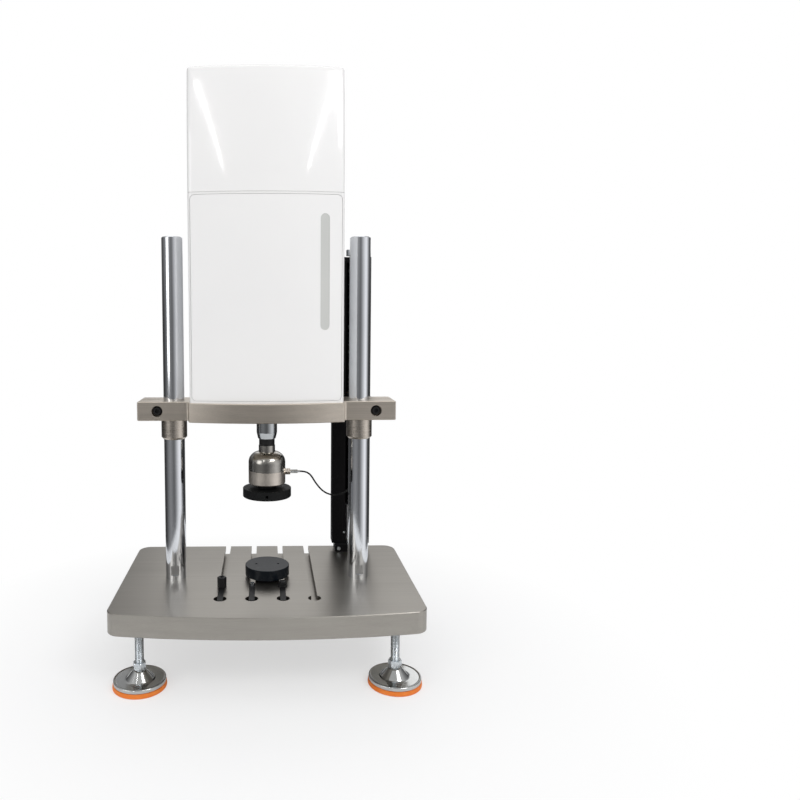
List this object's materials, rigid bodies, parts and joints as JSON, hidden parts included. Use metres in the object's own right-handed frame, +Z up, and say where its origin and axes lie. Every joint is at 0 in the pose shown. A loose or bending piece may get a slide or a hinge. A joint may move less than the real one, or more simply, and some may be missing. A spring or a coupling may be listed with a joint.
{
  "type": "mechanical testing machine",
  "caption": "Bench testing machine: chrome columns on a T-slotted base, lifting crosshead with a covered linear motor, load cell and compression platens.",
  "frame": {"origin": "on the floor under the middle of the base plate", "axes": "+Z up, +X to the right seen from the front, -Y towards the user"},
  "size_m": [0.705, 0.4749, 1.387],
  "materials": {
    "brushed_plate": "long fine brush lines, warm grey",
    "crosshead_plate": "brushed, satin, olive grey",
    "hard_chrome": "ground and polished mirror chrome",
    "bush_steel": "fine turned, satin",
    "cover_white": "smooth gloss white",
    "window_smoke": "smoked, smooth",
    "panel_white": "satin white paint",
    "post_black": "satin black",
    "black_oxide": "black oxide, matt",
    "platen_navy": "lapped and blued, glossy",
    "nickel_satin": "satin nickel",
    "bearing_bronze": "turned bronze",
    "coil_copper": "wound and varnished",
    "motor_aluminium": "anodised",
    "magnet_steel": "ground",
    "zinc_steel": "zinc plated",
    "pressed_chrome": "pressed sheet, chrome plated",
    "pad_orange": "moulded rubber, matt",
    "plug_grey": "satin",
    "cable_dark": "smooth jacket",
    "socket_black": "matt"
  },
  "bodies": {
    "frame": {"base_plate": "brushed_plate", "column_left": "hard_chrome", "column_right": "hard_chrome", "column_nuts": "black_oxide", "lower_platen": "platen_navy", "platen_stud": "zinc_steel", "lift_post": "post_black", "post_foot": "post_black", "post_screws": "zinc_steel", "post_bearing_block": "post_black", "lift_gearmotor": "motor_aluminium"},
    "crosshead": {"crosshead": "crosshead_plate", "guide_bush_left": "bush_steel", "guide_bush_right": "bush_steel", "rod_bearing": "bearing_bronze", "lift_arm": "post_black", "lift_nut": "bearing_bronze", "motor_housing": "motor_aluminium", "motor_coil": "coil_copper", "motor_end_cap": "motor_aluminium", "socket_screws": "black_oxide", "cover_shell": "cover_white", "front_panel": "cover_white", "window_strip": "window_smoke", "rear_panel": "panel_white", "rear_sockets": "socket_black", "panel_screws": "zinc_steel", "hood": "cover_white", "cable_gland": "nickel_satin", "load_cell_cable": "cable_dark"},
    "lift_screw": {"lift_screw": "zinc_steel"},
    "actuator": {"actuator_rod": "hard_chrome", "magnet_sleeve": "magnet_steel", "lock_nut": "black_oxide", "load_cell_dome": "nickel_satin", "load_cell_base": "nickel_satin", "cable_socket": "nickel_satin", "cable_plug": "plug_grey", "upper_platen": "black_oxide"},
    "clamp_screw_left": {"clamp_screw_left": "black_oxide"},
    "clamp_screw_right": {"clamp_screw_right": "black_oxide"},
    "t_clamp_left": {"t_bar_left": "black_oxide", "t_nut_left": "black_oxide"},
    "t_clamp_middle": {"t_bar_middle": "black_oxide", "t_screw_middle": "zinc_steel"},
    "t_clamp_right": {"t_bar_right": "black_oxide", "t_nut_right": "black_oxide"},
    "foot_front_left": {"foot_disc_front_left": "pressed_chrome", "foot_pad_front_left": "pad_orange"},
    "foot_stud_front_left": {"foot_stud_front_left": "zinc_steel"},
    "foot_front_right": {"foot_disc_front_right": "pressed_chrome", "foot_pad_front_right": "pad_orange"},
    "foot_stud_front_right": {"foot_stud_front_right": "zinc_steel"},
    "foot_rear_left": {"foot_disc_rear_left": "pressed_chrome", "foot_pad_rear_left": "pad_orange"},
    "foot_stud_rear_left": {"foot_stud_rear_left": "zinc_steel"},
    "foot_rear_right": {"foot_disc_rear_right": "pressed_chrome", "foot_pad_rear_right": "pad_orange"},
    "foot_stud_rear_right": {"foot_stud_rear_right": "zinc_steel"}
  },
  "joints": [
    {"name": "crosshead_slide", "type": "slide", "parent": "frame", "child": "crosshead", "axis": [0, 0, 1], "range_m": [-0.14, 0.34]},
    {"name": "lift_screw_spin", "type": "hinge", "parent": "frame", "child": "lift_screw", "pos_m": [0.229, 0.2155, 0.6], "axis": [0, 0, 1], "range_deg": [-12601, 30601]},
    {"name": "actuator_slide", "type": "slide", "parent": "crosshead", "child": "actuator", "axis": [0, 0, 1], "range_m": [-0.025, 0.025]},
    {"name": "clamp_screw_left_turn", "type": "hinge", "parent": "crosshead", "child": "clamp_screw_left", "pos_m": [-0.259, -0.02, 0.6005], "axis": [0, 1, 0], "range_deg": [-180, 45]},
    {"name": "clamp_screw_right_turn", "type": "hinge", "parent": "crosshead", "child": "clamp_screw_right", "pos_m": [0.259, -0.02, 0.6005], "axis": [0, 1, 0], "range_deg": [-180, 45]},
    {"name": "t_clamp_left_slide", "type": "slide", "parent": "frame", "child": "t_clamp_left", "axis": [0, 1, 0], "range_m": [0, 0.26]},
    {"name": "t_clamp_middle_slide", "type": "slide", "parent": "frame", "child": "t_clamp_middle", "axis": [0, 1, 0], "range_m": [0, 0.26]},
    {"name": "t_clamp_right_slide", "type": "slide", "parent": "frame", "child": "t_clamp_right", "axis": [0, 1, 0], "range_m": [0, 0.01]},
    {"name": "foot_front_left_level", "type": "slide", "parent": "frame", "child": "foot_front_left", "axis": [0, 0, 1], "range_m": [-0.01, 0.008]},
    {"name": "foot_stud_front_left_spin", "type": "hinge", "parent": "foot_front_left", "child": "foot_stud_front_left", "pos_m": [-0.286, -0.172, 0.022], "axis": [0, 0, 1], "range_deg": [-1441, 1153]},
    {"name": "foot_front_right_level", "type": "slide", "parent": "frame", "child": "foot_front_right", "axis": [0, 0, 1], "range_m": [-0.01, 0.008]},
    {"name": "foot_stud_front_right_spin", "type": "hinge", "parent": "foot_front_right", "child": "foot_stud_front_right", "pos_m": [0.286, -0.172, 0.022], "axis": [0, 0, 1], "range_deg": [-1441, 1153]},
    {"name": "foot_rear_left_level", "type": "slide", "parent": "frame", "child": "foot_rear_left", "axis": [0, 0, 1], "range_m": [-0.01, 0.008]},
    {"name": "foot_stud_rear_left_spin", "type": "hinge", "parent": "foot_rear_left", "child": "foot_stud_rear_left", "pos_m": [-0.286, 0.172, 0.022], "axis": [0, 0, 1], "range_deg": [-1441, 1153]},
    {"name": "foot_rear_right_level", "type": "slide", "parent": "frame", "child": "foot_rear_right", "axis": [0, 0, 1], "range_m": [-0.01, 0.008]},
    {"name": "foot_stud_rear_right_spin", "type": "hinge", "parent": "foot_rear_right", "child": "foot_stud_rear_right", "pos_m": [0.286, 0.172, 0.022], "axis": [0, 0, 1], "range_deg": [-1441, 1153]}
  ],
  "couplings": [
    {"joint": "lift_screw_spin", "follows": "crosshead_slide", "rad_per_m": 1570.8},
    {"joint": "foot_stud_front_left_spin", "follows": "foot_front_left_level", "rad_per_m": 2513.3},
    {"joint": "foot_stud_front_right_spin", "follows": "foot_front_right_level", "rad_per_m": 2513.3},
    {"joint": "foot_stud_rear_left_spin", "follows": "foot_rear_left_level", "rad_per_m": 2513.3},
    {"joint": "foot_stud_rear_right_spin", "follows": "foot_rear_right_level", "rad_per_m": 2513.3}
  ]
}
